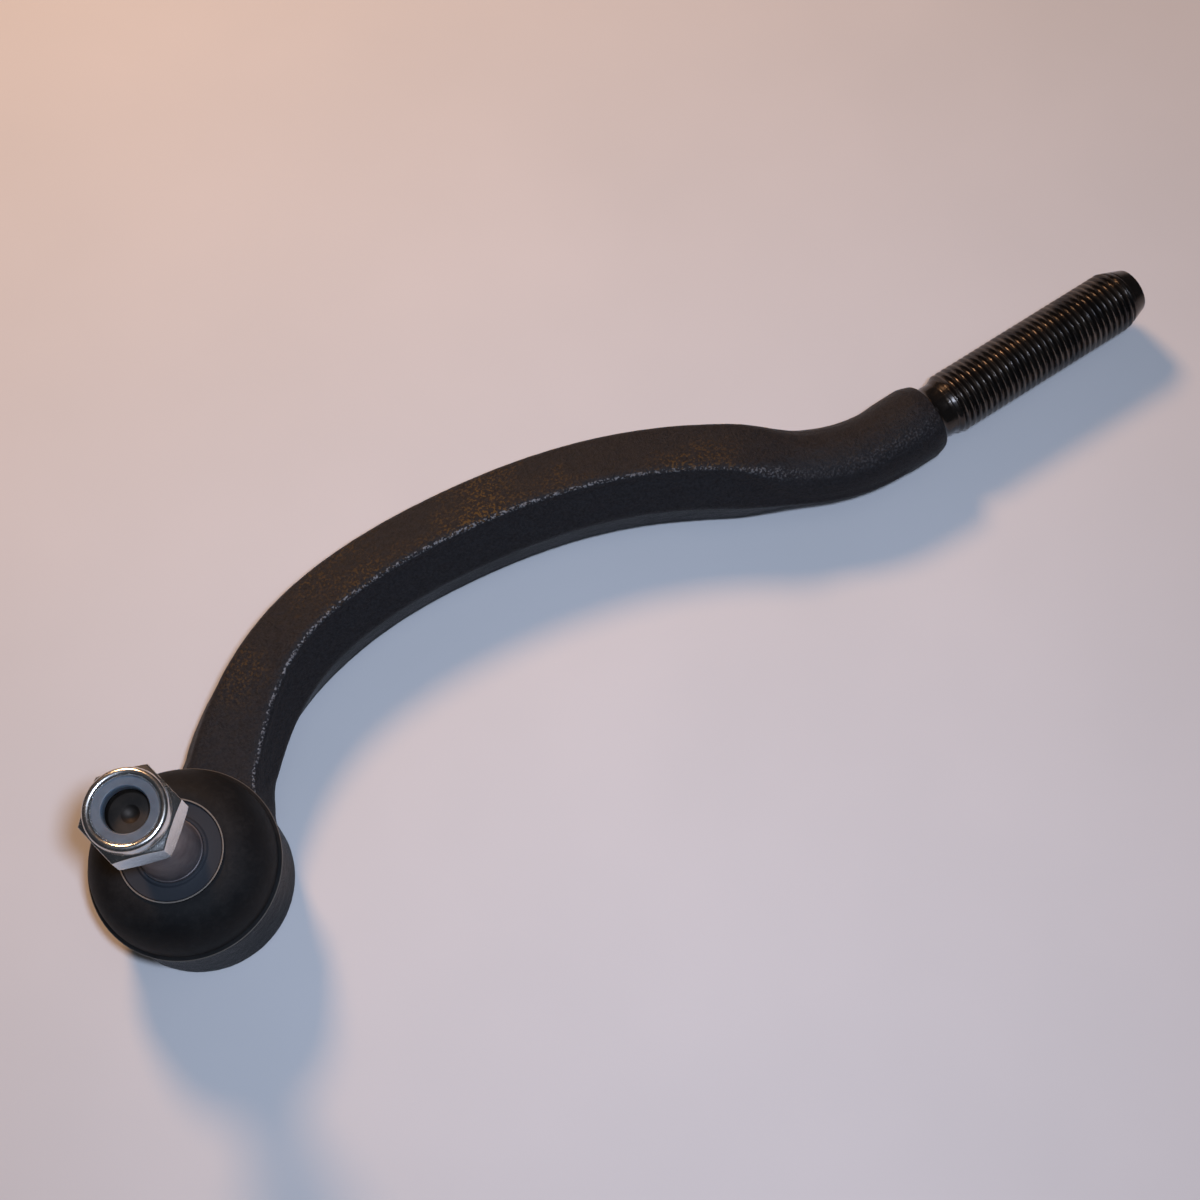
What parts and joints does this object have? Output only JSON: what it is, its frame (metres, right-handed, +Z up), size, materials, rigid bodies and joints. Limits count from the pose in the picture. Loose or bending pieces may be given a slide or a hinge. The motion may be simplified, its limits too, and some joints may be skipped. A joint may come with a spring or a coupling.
{
  "type": "tie rod end",
  "caption": "Curved steering tie rod end: forged arm with a threaded shank, a ball stud in a booted housing, and a nylon-insert lock nut.",
  "frame": {"origin": "centre of the housing's base, on the ball stud's axis", "axes": "+Z up the stud, +X from the ball stud along the threaded shank, +Y to the side that the arm bows out to"},
  "size_m": [0.2576, 0.0612, 0.0678],
  "materials": {
    "painted_forging": "semi-gloss black over a forged texture",
    "pressed_steel": "satin black",
    "spring_steel": "satin",
    "seat_plastic": "satin",
    "ground_steel": "ground",
    "boot_rubber": "matte",
    "ring_steel": "satin",
    "zinc_plated_steel": "bright zinc",
    "nylon": "satin"
  },
  "bodies": {
    "housing": {"forged_body": "painted_forging", "cover_plate": "pressed_steel", "preload_spring": "spring_steel", "boot": "boot_rubber", "boot_foot_ring": "ring_steel"},
    "seats": {"lower_ball_seat": "seat_plastic", "upper_ball_seat": "seat_plastic"},
    "boot_top": {"boot_neck_ring": "ring_steel"},
    "stud": {"ball_stud": "ground_steel"},
    "nut_carrier": {"nut_nylon_ring": "nylon"},
    "nut": {"nut_body": "zinc_plated_steel"}
  },
  "joints": [
    {"name": "lean_direction", "type": "hinge", "parent": "housing", "child": "seats", "pos_m": [0, 0, 0.0135], "axis": [0, 0, 1], "continuous": true},
    {"name": "stud_lean", "type": "hinge", "parent": "seats", "child": "boot_top", "pos_m": [0, 0, 0.0135], "axis": [0, 1, 0], "range_deg": [-22, 22], "deforming": ["boot"]},
    {"name": "stud_spin", "type": "hinge", "parent": "boot_top", "child": "stud", "pos_m": [0, 0, 0.0135], "axis": [0, 0, 1], "continuous": true},
    {"name": "nut_travel", "type": "slide", "parent": "stud", "child": "nut_carrier", "axis": [0, 0, 1], "range_m": [-0.00801, 0], "deforming": ["nut_nylon_ring"]},
    {"name": "nut_turn", "type": "hinge", "parent": "nut_carrier", "child": "nut", "pos_m": [0, 0, 0.058], "axis": [0, 0, 1], "range_deg": [-2304, 0]}
  ],
  "couplings": [
    {"joint": "nut_travel", "follows": "nut_turn", "m_per_rad": 0.00019894}
  ]
}
